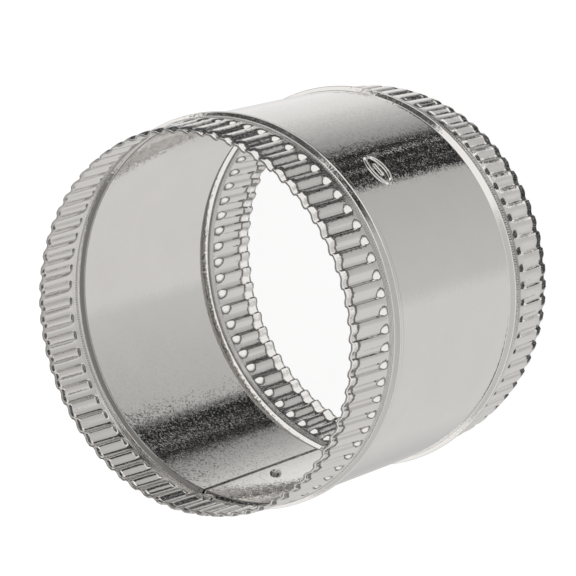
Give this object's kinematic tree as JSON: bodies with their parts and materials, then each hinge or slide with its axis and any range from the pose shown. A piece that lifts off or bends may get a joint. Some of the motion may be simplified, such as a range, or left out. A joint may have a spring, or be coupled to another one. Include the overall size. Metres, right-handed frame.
{
  "type": "duct connector",
  "caption": "Round sheet-metal duct connector with a lapped and clinched seam, rolled beads, and both ends crimped to slip inside pipe of the same nominal size.",
  "frame": {"origin": "centre of the lower rim, on the tube's axis", "axes": "+Z is the tube's axis, upward from the lower rim; the lap seam's middle is toward -Y"},
  "size_m": [0.1556, 0.1556, 0.137],
  "materials": {
    "galvanised": "bright galvanised sheet steel, fairly smooth, with a soft mirror look and fine speckle"
  },
  "bodies": {
    "root": {"connector_sheet": "galvanised"}
  },
  "joints": []
}
